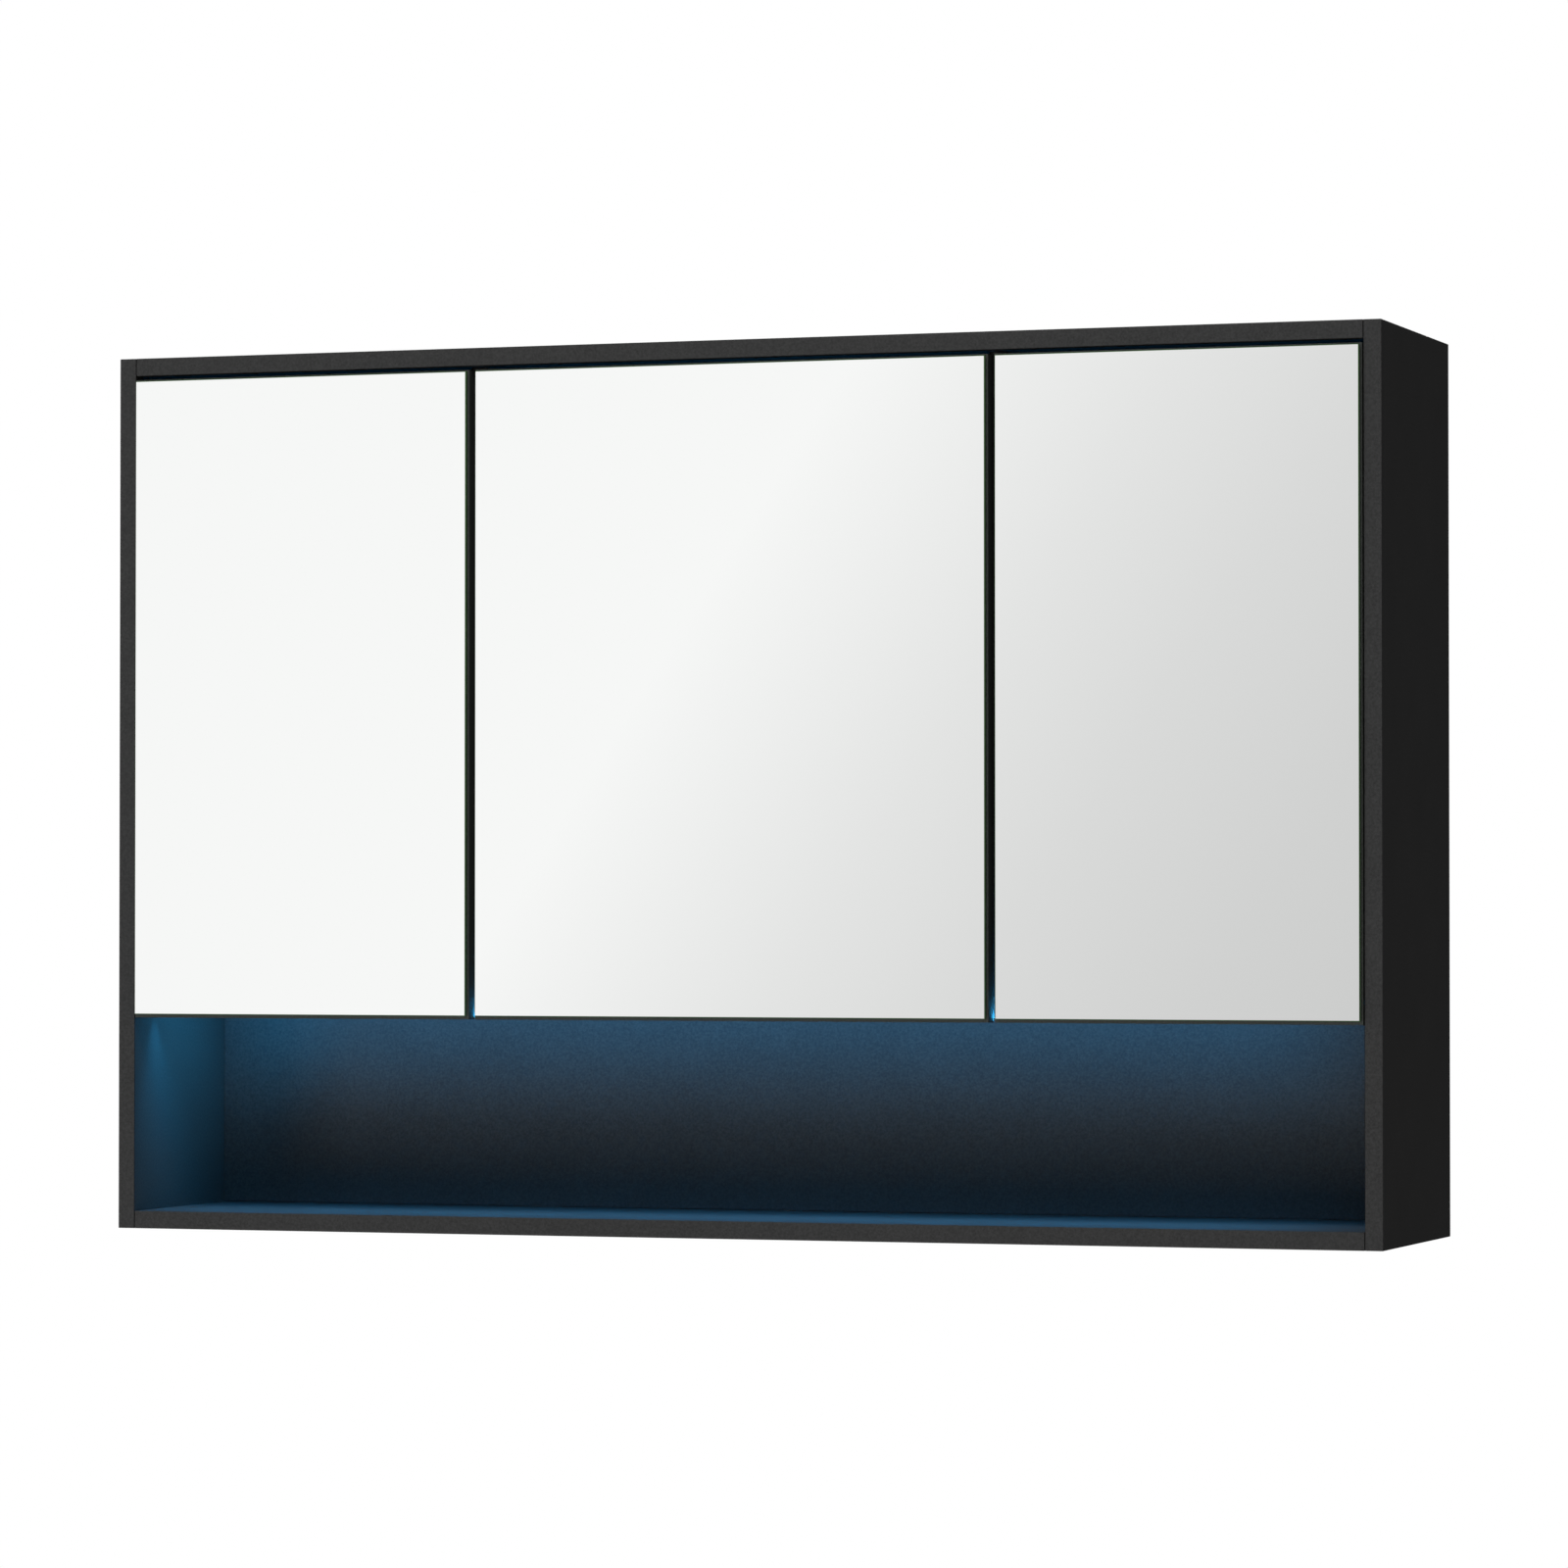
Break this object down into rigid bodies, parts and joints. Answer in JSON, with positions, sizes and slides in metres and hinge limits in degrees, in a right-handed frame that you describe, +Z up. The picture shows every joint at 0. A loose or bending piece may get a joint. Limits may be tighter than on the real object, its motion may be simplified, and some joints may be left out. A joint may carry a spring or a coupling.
{
  "type": "mirror cabinet",
  "caption": "Wall-hung mirror cabinet with inset mirrored doors on concealed hinges, glass shelves behind them and an open niche lit from above.",
  "frame": {"origin": "middle of the underside of the bounding box", "axes": "+X to the right when facing the mirrors, +Y back towards the wall, +Z up"},
  "size_m": [1.2, 0.2624, 0.806],
  "materials": {
    "graphite_board": "matt graphite melamine-faced board",
    "mirror_glass": "silvered float glass with polished edges",
    "shelf_glass": "clear toughened glass",
    "hinge_steel": "nickel-plated pressed steel",
    "zinc_steel": "zinc-plated steel",
    "led_aluminium": "anodised",
    "led_diffuser": "opal",
    "led_circuit": "white circuit board",
    "driver_plastic": "moulded",
    "black_plastic": "moulded"
  },
  "bodies": {
    "cabinet": {"side_panel_left": "graphite_board", "side_panel_right": "graphite_board", "top_panel": "graphite_board", "bottom_panel": "graphite_board", "fixed_shelf": "graphite_board", "partition_left": "graphite_board", "partition_right": "graphite_board", "upper_back_panel": "graphite_board", "niche_back_panel": "graphite_board", "glass_shelf_left_1": "shelf_glass", "glass_shelf_left_2": "shelf_glass", "glass_shelf_middle_1": "shelf_glass", "glass_shelf_middle_2": "shelf_glass", "glass_shelf_right_1": "shelf_glass", "glass_shelf_right_2": "shelf_glass", "hinge_arm_left_bottom": "hinge_steel", "mounting_plate_left_bottom": "hinge_steel", "hinge_arm_left_top": "hinge_steel", "mounting_plate_left_top": "hinge_steel", "hinge_arm_middle_bottom": "hinge_steel", "mounting_plate_middle_bottom": "hinge_steel", "hinge_arm_middle_top": "hinge_steel", "mounting_plate_middle_top": "hinge_steel", "hinge_arm_right_bottom": "hinge_steel", "mounting_plate_right_bottom": "hinge_steel", "hinge_arm_right_top": "hinge_steel", "mounting_plate_right_top": "hinge_steel", "led_channel": "led_aluminium", "led_strip": "led_circuit", "led_diffuser": "led_diffuser", "led_end_cap_left": "black_plastic", "led_end_cap_right": "black_plastic", "switch_housing": "black_plastic", "led_driver": "driver_plastic", "cable_gland": "black_plastic", "led_lead": "black_plastic", "hanger_bracket_left": "zinc_steel", "hanger_bracket_right": "zinc_steel", "wall_plate_left": "zinc_steel", "wall_plate_right": "zinc_steel"},
    "link_left_top": {"hinge_link_left_top": "hinge_steel"},
    "link_left_bottom": {"hinge_link_left_bottom": "hinge_steel"},
    "door_left": {"door_board_left": "graphite_board", "mirror_left": "mirror_glass", "hinge_cup_left_top": "hinge_steel", "hinge_cup_left_bottom": "hinge_steel"},
    "link_middle_top": {"hinge_link_middle_top": "hinge_steel"},
    "link_middle_bottom": {"hinge_link_middle_bottom": "hinge_steel"},
    "door_middle": {"door_board_middle": "graphite_board", "mirror_middle": "mirror_glass", "hinge_cup_middle_top": "hinge_steel", "hinge_cup_middle_bottom": "hinge_steel"},
    "link_right_top": {"hinge_link_right_top": "hinge_steel"},
    "link_right_bottom": {"hinge_link_right_bottom": "hinge_steel"},
    "door_right": {"door_board_right": "graphite_board", "mirror_right": "mirror_glass", "hinge_cup_right_top": "hinge_steel", "hinge_cup_right_bottom": "hinge_steel"},
    "rocker": {"switch_rocker": "black_plastic"}
  },
  "joints": [
    {"name": "door_left_swing", "type": "hinge", "parent": "link_left_top", "child": "door_left", "pos_m": [-0.572, -0.11435, 0.696], "axis": [0, 0, -1], "range_deg": [0, 162]},
    {"name": "link_left_top_swing", "type": "hinge", "parent": "cabinet", "child": "link_left_top", "pos_m": [-0.5465, -0.10135, 0.696], "axis": [0, 0, -1], "range_deg": [-62, 0]},
    {"name": "link_left_bottom_swing", "type": "hinge", "parent": "cabinet", "child": "link_left_bottom", "pos_m": [-0.5465, -0.10135, 0.285], "axis": [0, 0, -1], "range_deg": [-62, 0]},
    {"name": "door_middle_swing", "type": "hinge", "parent": "link_middle_top", "child": "door_middle", "pos_m": [-0.233, -0.11435, 0.696], "axis": [0, 0, -1], "range_deg": [0, 162]},
    {"name": "link_middle_top_swing", "type": "hinge", "parent": "cabinet", "child": "link_middle_top", "pos_m": [-0.2075, -0.10135, 0.696], "axis": [0, 0, -1], "range_deg": [-62, 0]},
    {"name": "link_middle_bottom_swing", "type": "hinge", "parent": "cabinet", "child": "link_middle_bottom", "pos_m": [-0.2075, -0.10135, 0.285], "axis": [0, 0, -1], "range_deg": [-62, 0]},
    {"name": "door_right_swing", "type": "hinge", "parent": "link_right_top", "child": "door_right", "pos_m": [0.572, -0.11435, 0.696], "axis": [0, 0, 1], "range_deg": [0, 162]},
    {"name": "link_right_top_swing", "type": "hinge", "parent": "cabinet", "child": "link_right_top", "pos_m": [0.5465, -0.10135, 0.696], "axis": [0, 0, 1], "range_deg": [-62, 0]},
    {"name": "link_right_bottom_swing", "type": "hinge", "parent": "cabinet", "child": "link_right_bottom", "pos_m": [0.5465, -0.10135, 0.285], "axis": [0, 0, 1], "range_deg": [-62, 0]},
    {"name": "rocker_tip", "type": "hinge", "parent": "cabinet", "child": "rocker", "pos_m": [0.5422, -0.09185, 0.2087], "axis": [0, 1, 0], "range_deg": [-14, 0]}
  ],
  "couplings": [
    {"joint": "link_left_top_swing", "follows": "door_left_swing", "ratio": -0.3827},
    {"joint": "link_left_bottom_swing", "follows": "door_left_swing", "ratio": -0.3827},
    {"joint": "link_middle_top_swing", "follows": "door_middle_swing", "ratio": -0.3827},
    {"joint": "link_middle_bottom_swing", "follows": "door_middle_swing", "ratio": -0.3827},
    {"joint": "link_right_top_swing", "follows": "door_right_swing", "ratio": -0.3827},
    {"joint": "link_right_bottom_swing", "follows": "door_right_swing", "ratio": -0.3827}
  ]
}
